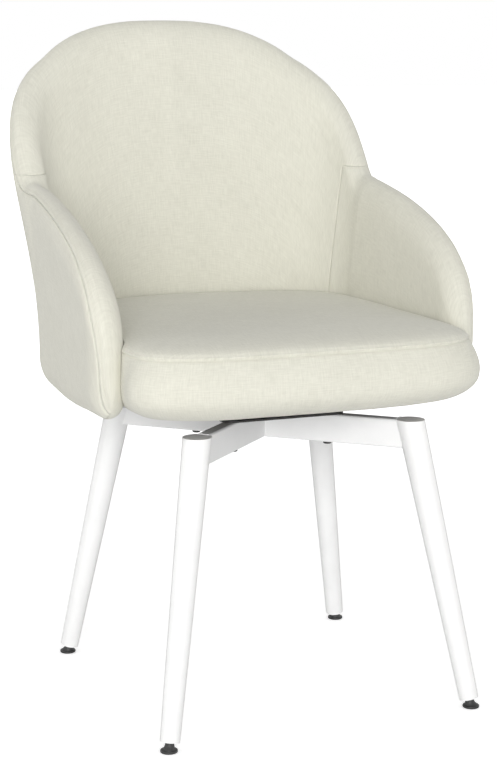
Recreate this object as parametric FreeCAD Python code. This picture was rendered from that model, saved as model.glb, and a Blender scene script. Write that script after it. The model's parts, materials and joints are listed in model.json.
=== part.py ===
import FreeCAD, Part
import math
import os

V = FreeCAD.Vector
os.makedirs("parts", exist_ok=True)

# Swivel dining chair, millimetres. X is left and right, the seat faces -Y, Z is up.
# Everything is drawn about the swivel axis and moved at the end, so that the
# origin is on the floor under the middle of the chair.

# Base: four splayed tapered tube legs on a cross of rectangular tube
base_height = 380.0
leg_top_spread = 148.5
leg_foot_spread = 211.7
leg_top_diameter = 37.5
leg_bottom_diameter = 25.5
leg_wall = 1.6
leg_bottom_gap = 12.0
leg_cap_thickness = 2.5
leg_cap_clearance = 0.1
bar_depth = 38.0
bar_width = 19.0
bar_wall = 1.8
bar_corner = 3.0
weld_gap = 0.05

# Levelling glides, one in each leg
glide_disc_diameter = 22.0
glide_disc_height = 3.6
glide_neck_diameter = 11.5
glide_neck_length = 8.6
glide_stem_diameter = 8.0
glide_stem_length = 34.0
glide_travel = 8.0
insert_length = 22.0
insert_flange = 1.6
insert_clearance = 0.05
stem_clearance = 0.08

# Swivel: two pressed plates, a ring of balls in a cage and a tubular rivet
swivel_height = 25.4
plate_side = 171.5
plate_thickness = 2.5
plate_corner = 12.0
dish_outer_radius = 62.0
dish_rise = 7.0
dish_ramp = 8.0
race_radius = 45.0
ball_diameter = 8.0
ball_count = 18
race_clearance = 0.05
cage_thickness = 1.6
cage_width = 14.0
ball_pocket_clearance = 0.3
rivet_radius = 16.0
rivet_wall = 2.0
rivet_flange_radius = 22.0
rivet_flange_thickness = 1.8
rivet_clearance = 0.08
rivet_lift = 0.15

# Fasteners
bolt_offset = 67.3
bolt_diameter = 6.0
bolt_head_diameter = 11.5
bolt_head_height = 3.4
nut_across_flats = 10.0
nut_height = 5.0
hole_clearance = 0.2
seat_screw_diameter = 6.0
seat_screw_head_diameter = 11.0
seat_screw_head_height = 3.2
tee_nut_flange = 19.0
tee_nut_thickness = 1.5
tee_nut_barrel = 8.0
wood_screw_diameter = 4.0
wood_screw_head_diameter = 8.0
wood_screw_head_height = 2.2

# Shell wall, followed along its middle from the back centre to an arm's front
wall_rear = 301.4
rear_radius = 406.5
rear_turn = math.radians(23.18)
corner_radius = 116.7
corner_turn = math.radians(63.52)
wall_length = 581.0
wall_thickness_back = 48.3
wall_thickness_arm = 45.4
wall_bottom = 400.7
edge_round = 39.0
bottom_round = 44.0

# The wall stands upright beside the seat and leans out above it
bend_height = 494.0
bend_blend = 60.0
lean_back = 0.164
lean_corner = 0.189
lean_arm = 0.062
lean_growth = 0.000117

# Top line of the wall: a round arch for the back over a low arch for the arms
back_top = 892.9
arch_half_length = 291.0
arch_power = 2.384
arm_top = 675.9
arm_power = 3.2105
knee_sharpness = 20.8

# Layers of the wall
board_thickness = 10.0
board_shift = 1.0
board_below_edge = 20.0
board_above_bottom = 12.0
layer_gap = 0.3
seam_turn = math.radians(49.5)
nose_length = 12.0
nose_tip = 0.7
arm_seam_length = 236.0
arm_seam_height = 684.0

# Seat cushion
seat_half_width = 232.9
seat_front = 213.6
seat_side_front = 87.5
seat_front_power = 3.85
seat_seam_height = 485.3
seat_side_bulge = 13.5
seat_bottom_round = 30.0
seat_crown = 20.0
crown_reach = 92.0
crown_power = 2.3
cushion_gap = 0.5

# Seat board and what joins it to the shell
seat_board_thickness = 12.0
seat_board_inset = 33.0
dust_cover_thickness = 1.0
dust_cover_margin = 4.0
bracket_width = 30.0
bracket_thickness = 3.0
bracket_height = 38.0
bracket_reach = 58.0
bracket_stations = (0.0, 352.0, 490.0)

swivel_top = base_height + swivel_height
arc_length_rear = rear_radius * rear_turn
arc_length_corner = corner_radius * corner_turn
straight_start = arc_length_rear + arc_length_corner
full_turn = rear_turn + corner_turn


def save(name, shape):
    """Keep a finished sub-part under its node name."""
    finished[name] = shape


finished = {}


def cylinder(radius, height, base, axis=V(0, 0, 1)):
    return Part.makeCylinder(radius, height, base, axis)


def mirror_x(shape):
    return shape.mirror(V(0, 0, 0), V(1, 0, 0))


def arc(a, b, c):
    """Arc through three points, or a line where they lie in one row."""
    sagitta = b.distanceToLine(a, c - a)
    if sagitta < 0.0005:
        return line(a, c)
    return Part.Arc(a, b, c).toShape()


def line(a, b):
    return Part.LineSegment(a, b).toShape()


# Leg geometry
def corner_sign(index):
    """Front left, front right, rear right, rear left."""
    return ((-1, -1), (1, -1), (1, 1), (-1, 1))[index]


corner_names = ("front_left", "front_right", "rear_right", "rear_left")
leg_run = (leg_foot_spread - leg_top_spread) * math.sqrt(2)
leg_axis_length = math.hypot(leg_run, base_height)
leg_slope = math.atan2(leg_run, base_height)


def leg_point(index, height):
    """Point of a leg's axis at a height above the floor."""
    sx, sy = corner_sign(index)
    share = 1.0 - height / base_height
    spread = leg_top_spread + (leg_foot_spread - leg_top_spread) * share
    return V(sx * spread, sy * spread, height)


def leg_down(index):
    return (leg_point(index, 0.0) - leg_point(index, base_height)).normalize()


leg_start_over = 12.0
leg_tube_length = leg_axis_length - leg_bottom_gap / math.cos(leg_slope) + leg_start_over


def leg_cone(index, inset):
    """Tapered round solid along a leg, its wall moved in by the inset."""
    start = leg_point(index, base_height) - leg_down(index) * leg_start_over
    top_radius = leg_top_diameter / 2 - inset
    bottom_radius = leg_bottom_diameter / 2 - inset
    return Part.makeCone(top_radius, bottom_radius, leg_tube_length, start, leg_down(index))


def above(height):
    size = 2000.0
    return Part.makeBox(size, size, size, V(-size / 2, -size / 2, height))


def build_legs():
    for index, name in enumerate(corner_names):
        outer = leg_cone(index, 0.0)
        bore = leg_cone(index, leg_wall)
        tube = outer.cut(bore).cut(above(base_height))
        save(name + "_leg", tube)
    caps = []
    for index in range(4):
        plug = leg_cone(index, leg_wall + leg_cap_clearance)
        slab = Part.makeBox(600, 600, leg_cap_thickness, V(-300, -300, base_height - leg_cap_thickness))
        caps.append(plug.common(slab))
    save("leg_top_caps", Part.makeCompound(caps))


def insert_profile(index):
    """Bush pressed in a leg's lower end, bored for the glide's stem."""
    end = leg_point(index, leg_bottom_gap)
    up = leg_down(index) * -1
    body_radius = leg_bottom_diameter / 2 - leg_wall - insert_clearance
    body = cylinder(body_radius, insert_length, end, up)
    taper = leg_cone(index, leg_wall + insert_clearance)
    body = body.common(taper)
    bore = cylinder(glide_stem_diameter / 2 + stem_clearance, insert_length + 4, end - up * 2, up)
    return body.cut(bore)


def build_inserts():
    save("leg_inserts", Part.makeCompound([insert_profile(i) for i in range(4)]))


def build_glides():
    for index, name in enumerate(corner_names):
        up = leg_down(index) * -1
        foot = leg_point(index, 0.0)
        disc_radius = glide_disc_diameter / 2
        neck_radius = glide_neck_diameter / 2
        # flat disc on the floor, with a rounded rim
        disc = cylinder(disc_radius, glide_disc_height, foot)
        disc = disc.makeFillet(1.2, [e for e in disc.Edges if e.BoundBox.ZLength < 0.01])
        # trumpet-shaped neck that leans with the leg
        profile = [V(0, 0, 0.6), V(disc_radius * 0.80, 0, glide_disc_height - 0.6)]
        mid = V(neck_radius + 1.0, 0, glide_disc_height + 2.6)
        top = V(neck_radius, 0, glide_disc_height + glide_neck_length - 1.0)
        edges = [
            line(profile[0], V(disc_radius * 0.80, 0, 0.6)),
            line(V(disc_radius * 0.80, 0, 0.6), profile[1]),
            arc(profile[1], mid, top),
            line(top, V(0, 0, top.z)),
            line(V(0, 0, top.z), profile[0]),
        ]
        neck = Part.Face(Part.Wire(edges)).revolve(V(0, 0, 0), V(0, 0, 1), 360)
        turn = FreeCAD.Rotation(V(0, 0, 1), up)
        neck.Placement = FreeCAD.Placement(foot, turn)
        below = Part.makeBox(200, 200, 100, foot + V(-100, -100, -99.4))
        foot_solid = disc.fuse(neck.cut(below)).removeSplitter()
        end = leg_point(index, leg_bottom_gap)
        room = cylinder(60, 60, end - up * layer_gap, up)
        foot_solid = foot_solid.cut(room)
        stem_start = foot + up * 4.0
        socket = cylinder(glide_stem_diameter / 2, 60, stem_start, up)
        foot_solid = foot_solid.cut(socket)
        save(name + "_glide_foot", foot_solid)
        stem = cylinder(glide_stem_diameter / 2, glide_stem_length, stem_start, up)
        save(name + "_glide_stem", stem)


def rounded_bar(length, width, depth, radius):
    """Rectangular tube section along +X, centred on Y, its top at Z = 0."""
    box = Part.makeBox(length, width, depth, V(0, -width / 2, -depth))
    edges = [e for e in box.Edges if e.BoundBox.XLength > length - 0.01]
    return box.makeFillet(radius, edges)


def hollow_bar(start, length):
    outer = rounded_bar(length, bar_width, bar_depth, bar_corner)
    inner = rounded_bar(length + 2, bar_width - 2 * bar_wall, bar_depth - 2 * bar_wall, bar_corner - bar_wall)
    inner.translate(V(-1, 0, -bar_wall))
    tube = outer.cut(inner)
    tube.translate(V(start, 0, base_height))
    return tube


def build_crossbar():
    reach = (leg_foot_spread + 5) * math.sqrt(2)
    bores = []
    for index in range(4):
        sx, sy = corner_sign(index)
        at = V(sx * bolt_offset, sy * bolt_offset, base_height - bar_depth - 5)
        bores.append(cylinder(bolt_diameter / 2 + hole_clearance / 2, bar_depth + 10, at))
    copes = [leg_cone(i, -weld_gap) for i in range(4)]
    cutters = Part.makeCompound(bores + copes)

    def trimmed(tube, angle, kept_side):
        tube.rotate(V(0, 0, 0), V(0, 0, 1), angle)
        cut = tube.cut(cutters)
        solids = sorted(cut.Solids, key=lambda s: -s.Volume)
        return solids[0]

    long_bar = hollow_bar(-reach, 2 * reach)
    save("crossbar_long", trimmed(long_bar, 45, 0))
    start = bar_width / 2 + weld_gap
    save("crossbar_short_right", trimmed(hollow_bar(start, reach - start), -45, 1))
    save("crossbar_short_left", trimmed(hollow_bar(start, reach - start), 135, 1))


def build_base_bolts():
    bolts = []
    nuts = []
    under = base_height - bar_depth
    for index in range(4):
        sx, sy = corner_sign(index)
        at = V(sx * bolt_offset, sy * bolt_offset, under)
        shank_length = bar_depth + plate_thickness + nut_height + 1.5
        shank = cylinder(bolt_diameter / 2, shank_length, at)
        head = cylinder(bolt_head_diameter / 2, bolt_head_height, at - V(0, 0, bolt_head_height))
        low_rim = [e for e in head.Edges if e.BoundBox.ZMax < at.z - bolt_head_height + 0.01]
        head = head.makeFillet(bolt_head_height * 0.6, low_rim)
        key = hexagon(4.0, 2.0, at - V(0, 0, bolt_head_height))
        bolts.append(shank.fuse(head).cut(key))
        nut = hexagon(nut_across_flats, nut_height, V(at.x, at.y, base_height + plate_thickness))
        hole = cylinder(bolt_diameter / 2 + hole_clearance / 4, 2 * bar_depth, at)
        nuts.append(nut.cut(hole))
    save("base_bolts", Part.makeCompound(bolts))
    save("base_bolt_nuts", Part.makeCompound(nuts))


def hexagon(flats, height, base):
    radius = flats / math.sqrt(3)
    corners = [base + V(radius * math.cos(math.radians(60 * k)), radius * math.sin(math.radians(60 * k)), 0)
               for k in range(7)]
    return Part.Face(Part.makePolygon(corners)).extrude(V(0, 0, height))


# Swivel plates
def pressed_dish(inner_radius):
    """Section of the dish, swept round: flange level, ramp, raised race, hole."""
    t = plate_thickness
    groove = ball_diameter / 2 + race_clearance
    points = [
        V(dish_outer_radius + 0.01, 0, 0),
        V(dish_outer_radius - dish_ramp, 0, dish_rise),
        V(inner_radius, 0, dish_rise),
        V(inner_radius, 0, dish_rise + t),
        V(dish_outer_radius - dish_ramp + t * 0.4, 0, dish_rise + t),
        V(dish_outer_radius + t * 0.4, 0, t),
        V(dish_outer_radius + 4, 0, t),
        V(dish_outer_radius + 4, 0, 0),
    ]
    face = Part.Face(Part.makePolygon(points + [points[0]]))
    dish = face.revolve(V(0, 0, 0), V(0, 0, 1), 360)
    race = Part.makeTorus(race_radius, groove, V(0, 0, swivel_height / 2))
    return dish.cut(race)


def swivel_plate():
    t = plate_thickness
    half = plate_side / 2
    sheet = Part.makeBox(plate_side, plate_side, t, V(-half, -half, 0))
    upright = [e for e in sheet.Edges if e.BoundBox.ZLength > t - 0.01]
    sheet = sheet.makeFillet(plate_corner, upright)
    sheet = sheet.cut(cylinder(dish_outer_radius + 2, t + 2, V(0, 0, -1)))
    plate = sheet.fuse(pressed_dish(rivet_radius + rivet_clearance)).removeSplitter()
    for index in range(4):
        sx, sy = corner_sign(index)
        hole = cylinder(bolt_diameter / 2 + hole_clearance / 2, t + 2, V(sx * bolt_offset, sy * bolt_offset, -1))
        plate = plate.cut(hole)
    return plate


def build_swivel():
    lower = swivel_plate()
    upper = swivel_plate().mirror(V(0, 0, swivel_height / 2), V(0, 0, 1))
    lift = V(0, 0, base_height)
    lower.translate(lift)
    upper.translate(lift)
    save("swivel_lower_plate", lower)
    save("swivel_upper_plate", upper)
    middle = base_height + swivel_height / 2
    balls = []
    pockets = []
    for index in range(ball_count):
        angle = 2 * math.pi * index / ball_count
        at = V(race_radius * math.cos(angle), race_radius * math.sin(angle), middle)
        balls.append(Part.makeSphere(ball_diameter / 2, at))
        pocket_base = at - V(0, 0, cage_thickness)
        pockets.append(cylinder(ball_diameter / 2 + ball_pocket_clearance, 2 * cage_thickness, pocket_base))
    save("swivel_balls", Part.makeCompound(balls))
    cage_base = V(0, 0, middle - cage_thickness / 2)
    cage = cylinder(race_radius + cage_width / 2, cage_thickness, cage_base)
    cage = cage.cut(cylinder(race_radius - cage_width / 2, cage_thickness * 2, cage_base - V(0, 0, 0.5)))
    save("ball_cage", cage.cut(Part.makeCompound(pockets)))
    # tubular rivet: lower flange under the lower dish, upper flange over the upper dish
    low = base_height + dish_rise
    high = base_height + swivel_height - dish_rise + rivet_lift
    shank_low = low - rivet_flange_thickness
    shank_high = high + rivet_flange_thickness
    shank = cylinder(rivet_radius, shank_high - shank_low, V(0, 0, shank_low))
    shank = shank.fuse(cylinder(rivet_flange_radius, rivet_flange_thickness, V(0, 0, shank_low)))
    shank = shank.fuse(cylinder(rivet_flange_radius, rivet_flange_thickness, V(0, 0, high)))
    bore = cylinder(rivet_radius - rivet_wall, shank_high - shank_low + 2, V(0, 0, shank_low - 1))
    save("centre_rivet", shank.cut(bore))


# Wall path and sections
def path_at(length):
    """Plan point and heading of the wall's middle; negative lengths are the left side."""
    s = abs(length)
    x1 = rear_radius * math.sin(rear_turn)
    y1 = wall_rear - rear_radius * (1 - math.cos(rear_turn))
    x2 = x1 + corner_radius * (math.sin(full_turn) - math.sin(rear_turn))
    y2 = y1 - corner_radius * (math.cos(rear_turn) - math.cos(full_turn))
    if s <= arc_length_rear:
        heading = s / rear_radius
        x = rear_radius * math.sin(heading)
        y = wall_rear - rear_radius * (1 - math.cos(heading))
    elif s <= straight_start:
        heading = rear_turn + (s - arc_length_rear) / corner_radius
        x = x1 + corner_radius * (math.sin(heading) - math.sin(rear_turn))
        y = y1 - corner_radius * (math.cos(rear_turn) - math.cos(heading))
    else:
        heading = full_turn
        x = x2 + (s - straight_start) * math.cos(heading)
        y = y2 - (s - straight_start) * math.sin(heading)
    side = -1.0 if length < 0 else 1.0
    return side * x, y, side * math.sin(heading), math.cos(heading), heading


def wall_lean(heading, z):
    """How far the wall's middle leans out at a height."""
    share = min(heading / (math.pi / 2), 1.0)
    near_back = lean_back * (1 - share) * (1 - 2 * share)
    near_corner = 4 * lean_corner * share * (1 - share)
    near_arm = lean_arm * share * (2 * share - 1)
    slope = near_back + near_corner + near_arm
    rise = z - bend_height
    if rise < -bend_blend:
        return 0.0
    if rise < bend_blend:
        smooth = (rise + bend_blend) ** 2 / (4 * bend_blend)
    else:
        smooth = rise
    return slope * smooth + lean_growth * max(rise, 0.0) ** 2


def round_share(distance, depth):
    """Half thickness share at a distance from a rounded edge."""
    x = min(max(distance / depth, 0.0), 1.0)
    return math.sqrt(max(1 - (1 - x) ** 2, 0.0))


def wall_top(length):
    s = abs(length)
    along_back = min(s / arch_half_length, 1.0)
    along_arm = min(s / wall_length, 1.0)
    arch = (back_top - wall_bottom) * (1 - along_back ** arch_power) ** (1 / arch_power)
    arm = (arm_top - wall_bottom) * (1 - along_arm ** arm_power) ** (1 / arm_power)
    return wall_bottom + (arch ** knee_sharpness + arm ** knee_sharpness) ** (1 / knee_sharpness)


class Section:
    """Upright cut through the wall, square to its path."""

    def __init__(self, length, grow=0.0):
        self.x, self.y, self.nx, self.ny, self.heading = path_at(length)
        share = min(self.heading / (math.pi / 2), 1.0)
        thickness = wall_thickness_back * (1 - share) + wall_thickness_arm * share
        self.half = thickness / 2 * round_share(wall_length - abs(length), edge_round) + grow
        self.top = wall_top(length) + grow
        self.bottom = wall_bottom - grow
        height = self.top - self.bottom
        self.top_round = min(edge_round, 0.44 * height)
        self.bottom_round = min(bottom_round, 0.50 * height)

    def point(self, across, z):
        out = across + wall_lean(self.heading, z)
        return V(self.x + self.nx * out, self.y + self.ny * out, z)

    def top_edge(self, turn, side, shrink=0.0):
        """Point of the rounded top: turn 0 is the crest, a quarter turn is the side."""
        across = side * (self.half - shrink) * math.sin(turn)
        return self.point(across, self.top - self.top_round * (1 - math.cos(turn)))

    def bottom_edge(self, turn, side):
        across = side * self.half * math.sin(turn)
        return self.point(across, self.bottom + self.bottom_round * (1 - math.cos(turn)))

    def bottom_turn(self, across):
        """Turn of the rounded bottom at a distance from the middle."""
        return math.asin(min(abs(across) / self.half, 1.0))

    def side_arcs(self, across, low, high):
        """Three arcs up a face between two heights."""
        edges = []
        for k in range(3):
            z0 = low + (high - low) * k / 3
            z1 = low + (high - low) * (k + 1) / 3
            edges.append((self.point(across, z0), self.point(across, (z0 + z1) / 2), self.point(across, z1)))
        return edges


def round_arcs(edge_point, start, end, count):
    arcs = []
    for k in range(count):
        t0 = start + (end - start) * k / count
        t1 = start + (end - start) * (k + 1) / count
        arcs.append((edge_point(t0), edge_point((t0 + t1) / 2), edge_point(t1)))
    return arcs


def flipped(arcs):
    return [(c, b, a) for a, b, c in reversed(arcs)]


def closed_wire(pieces):
    edges = []
    for piece in pieces:
        if len(piece) == 3:
            edges.append(arc(*piece))
        else:
            edges.append(line(*piece))
    return Part.Wire(edges)


quarter = math.pi / 2


def whole_wire(length, grow=0.0):
    """Full wall section, used for the arm noses and for clearances."""
    c = Section(length, grow)
    low = c.bottom + c.bottom_round
    high = c.top - c.top_round
    pieces = round_arcs(lambda t: c.bottom_edge(t, -1), 0, quarter, 2)
    pieces += c.side_arcs(-c.half, low, high)
    pieces += round_arcs(lambda t: c.top_edge(t, -1), quarter, 0, 2)
    pieces += round_arcs(lambda t: c.top_edge(t, 1), 0, quarter, 2)
    pieces += flipped(c.side_arcs(c.half, low, high))
    pieces += round_arcs(lambda t: c.bottom_edge(t, 1), quarter, 0, 2)
    return closed_wire(pieces)


board_inner = board_shift - board_thickness / 2
board_outer = board_shift + board_thickness / 2
pad_inner_face = board_inner - layer_gap
pad_outer_face = board_outer + layer_gap


def board_wire(length):
    c = Section(length)
    low = c.bottom + board_above_bottom
    high = c.top - board_below_edge
    pieces = c.side_arcs(board_inner, low, high)
    pieces.append((c.point(board_inner, high), c.point(board_outer, high)))
    pieces += flipped(c.side_arcs(board_outer, low, high))
    pieces.append((c.point(board_outer, low), c.point(board_inner, low)))
    return closed_wire(pieces)


def inner_pad_wire(length):
    """Inside padding: rolls over the board's edge to the seam on the outside."""
    c = Section(length)
    low = c.bottom + c.bottom_round
    high = c.top - c.top_round
    ledge = c.top - board_below_edge + layer_gap
    start_turn = c.bottom_turn(pad_inner_face)
    start = c.bottom_edge(start_turn, -1)
    seam = c.top_edge(seam_turn, 1)
    pieces = round_arcs(lambda t: c.bottom_edge(t, -1), start_turn, quarter, 2)
    pieces += c.side_arcs(-c.half, low, high)
    pieces += round_arcs(lambda t: c.top_edge(t, -1), quarter, 0, 2)
    pieces += round_arcs(lambda t: c.top_edge(t, 1), 0, seam_turn, 1)
    pieces.append((seam, c.point(pad_outer_face, ledge)))
    pieces.append((c.point(pad_outer_face, ledge), c.point(pad_inner_face, ledge)))
    pieces += flipped(c.side_arcs(pad_inner_face, start.z, ledge))
    return closed_wire(pieces)


def outer_pad_wire(length):
    """Outside padding: from the seam down, and under the board's lower edge."""
    c = Section(length)
    low = c.bottom + c.bottom_round
    high = c.top - c.top_round
    inner_edge = board_inner
    start = c.bottom_edge(c.bottom_turn(inner_edge), -1)
    ledge = c.bottom + board_above_bottom - layer_gap
    stop_turn = seam_turn + 2 * layer_gap / c.top_round
    seam = c.top_edge(stop_turn, 1)
    shelf = c.top - board_below_edge - layer_gap
    pieces = [(start, c.bottom_edge(0, 1))]
    pieces += round_arcs(lambda t: c.bottom_edge(t, 1), 0, quarter, 2)
    pieces += c.side_arcs(c.half, low, high)
    pieces += round_arcs(lambda t: c.top_edge(t, 1), quarter, stop_turn, 1)
    pieces.append((seam, c.point(pad_outer_face, shelf)))
    pieces += flipped(c.side_arcs(pad_outer_face, ledge, shelf))
    pieces.append((c.point(pad_outer_face, ledge), c.point(inner_edge, ledge)))
    pieces.append((c.point(inner_edge, ledge), start))
    return closed_wire(pieces)


def loft(wires):
    solid = Part.makeLoft(wires, True, False, False, 5)
    return solid


nose_start = wall_length - nose_length
knee_shares = (0.855, 0.88, 0.898, 0.916, 0.94, 0.975)


def back_stations(limit):
    """Stations from the middle of the back to a limit, closer where the arch falls."""
    shares = (0.0, 0.2, 0.4, 0.56, 0.68, 0.76, 0.82) + knee_shares
    inner = [arch_half_length * f for f in shares if arch_half_length * f < limit - 2]
    return inner + [limit]


def arm_stations(start, end):
    """Stations along an arm, closer at the knee and at the front."""
    found = [start]
    found += [arch_half_length * f for f in knee_shares if arch_half_length * f > start + 2]
    front = end - straight_start
    found += [straight_start + front * f for f in (0.02, 0.16, 0.32, 0.48, 0.62, 0.75, 0.86, 0.94, 1.0)]
    return found


def nose_stations():
    shares = (0.0, 0.35, 0.65, 0.86, 1.0)
    return [nose_start + (nose_length - nose_tip) * f for f in shares]


def mirrored(stations):
    """The same stations on both sides of the back's middle."""
    return [-s for s in reversed(stations[1:])] + list(stations)


def region_beyond(length, height):
    """Space past a wall station and under a height, on the right side."""
    x, y, nx, ny, heading = path_at(length)
    box = Part.makeBox(400, 600, height, V(0, -300, 0))
    turn = FreeCAD.Rotation(V(0, 0, 1), -math.degrees(heading))
    box.Placement = FreeCAD.Placement(V(x, y, 0), turn)
    return box


def build_shell():
    board_end = nose_start - layer_gap
    back = back_stations(arch_half_length * knee_shares[-1])
    every = back[:-1] + arm_stations(back[-1], board_end)
    board = loft([board_wire(s) for s in mirrored(every)])
    outside = loft([outer_pad_wire(s) for s in mirrored(every)])

    inside = loft([inner_pad_wire(s) for s in mirrored(every[:-1] + [nose_start])])
    arm_space = region_beyond(arm_seam_length, arm_seam_height)
    back_pad = inside.cut(arm_space).cut(mirror_x(arm_space))
    arm_space = region_beyond(arm_seam_length + layer_gap, arm_seam_height - layer_gap)
    nose = loft([whole_wire(s) for s in nose_stations()])
    arm = middle_solid(inside.common(arm_space)).fuse(nose)
    return board, outside, back_pad, arm


def wall_clearance():
    """The whole wall grown by the cushion's gap."""
    end = nose_start
    back = back_stations(arch_half_length * knee_shares[-1])
    every = back[:-1] + arm_stations(back[-1], end)
    body = loft([whole_wire(s, cushion_gap) for s in mirrored(every)])
    nose = loft([whole_wire(s, cushion_gap) for s in nose_stations()])
    x, y, nx, ny, heading = path_at(wall_length)
    ahead = nose.copy()
    ahead.translate(V(ny, -nx, 0) * cushion_gap)
    return [body, nose, mirror_x(nose), ahead, mirror_x(ahead)]


# Seat cushion
def front_point(turn, grow):
    """Front outline of the seat: turn 0 is the right side, a quarter turn the middle."""
    power = 2 / seat_front_power
    x = (seat_half_width + grow) * math.copysign(abs(math.cos(turn)) ** power, math.cos(turn))
    depth = seat_front - seat_side_front + grow
    return V(x, -seat_side_front - depth * abs(math.sin(turn)) ** power, 0)


def seat_outline(z, grow):
    """Closed plan outline of the seat, moved out by grow, at a height."""
    lift = V(0, 0, z)

    def wall(length):
        x, y, nx, ny, heading = path_at(length)
        return V(x + nx * grow, y + ny * grow, z)

    a = arc_length_rear
    b = straight_start
    pieces = [(wall(-a), wall(0), wall(a))]
    pieces.append((wall(a), wall((a + b) / 2), wall(b)))
    quarter_turns = (0, 4, 10, 20, 32, 45, 58, 70, 80, 86)
    degrees = quarter_turns + (90,) + tuple(180 - t for t in reversed(quarter_turns))
    turns = [math.radians(t) for t in degrees]
    side = front_point(0, grow) + lift
    pieces.append((wall(b), side))
    for k in range(0, len(turns) - 2, 2):
        points = [front_point(t, grow) + lift for t in turns[k:k + 3]]
        pieces.append(tuple(points))
    pieces.append((front_point(math.pi, grow) + lift, wall(-b)))
    pieces.append((wall(-b), wall(-(a + b) / 2), wall(-a)))
    return closed_wire(pieces)


def crown_share(inset):
    """Rise of the crown at a distance in from the seat's edge."""
    u = min(inset / crown_reach, 1.0)
    return (1 - (1 - u) ** crown_power) ** (1 / crown_power)


def seat_block():
    """Pillow shape of the seat before the shell is cut away."""
    height = seat_seam_height - swivel_top
    sides = []
    for rise in (0.0, 3.0, 9.0, 18.0, 30.0, 45.0, 62.0, height):
        bulge = seat_side_bulge * math.sin(math.pi * rise / height)
        tuck = seat_bottom_round * (1 - round_share(rise, seat_bottom_round))
        sides.append(seat_outline(swivel_top + rise, bulge - tuck))
    crown = []
    for share in (0.0, 0.04, 0.15, 0.33, 0.54, 0.76, 1.0):
        inset = crown_reach * share
        crown.append(seat_outline(seat_seam_height + seat_crown * crown_share(inset), -inset))
    return loft(sides).fuse(loft(crown))


def seat_board_solid(inset, bottom, thickness):
    return Part.Face(seat_outline(bottom, -inset)).extrude(V(0, 0, thickness))


def middle_solid(shape):
    """The largest solid of a cut shape."""
    return sorted(shape.Solids, key=lambda s: -s.Volume)[0]


def bracket_frames():
    """Placements of the shell brackets: origin on the board's inner face, X outwards."""
    frames = []
    for station in bracket_stations:
        for side in ((1,) if station == 0 else (1, -1)):
            x, y, nx, ny, heading = path_at(side * station)
            stand_off = 0.1 if abs(station) > straight_start else bracket_width ** 2 / (5 * rear_radius)
            inner = board_inner - stand_off
            at = V(x + nx * inner, y + ny * inner, 0)
            angle = math.degrees(math.atan2(ny, nx))
            frames.append(FreeCAD.Placement(at, FreeCAD.Rotation(V(0, 0, 1), angle)))
    return frames


def placed(shape, frame):
    moved = shape.copy()
    moved.Placement = frame.multiply(moved.Placement)
    return moved


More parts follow.
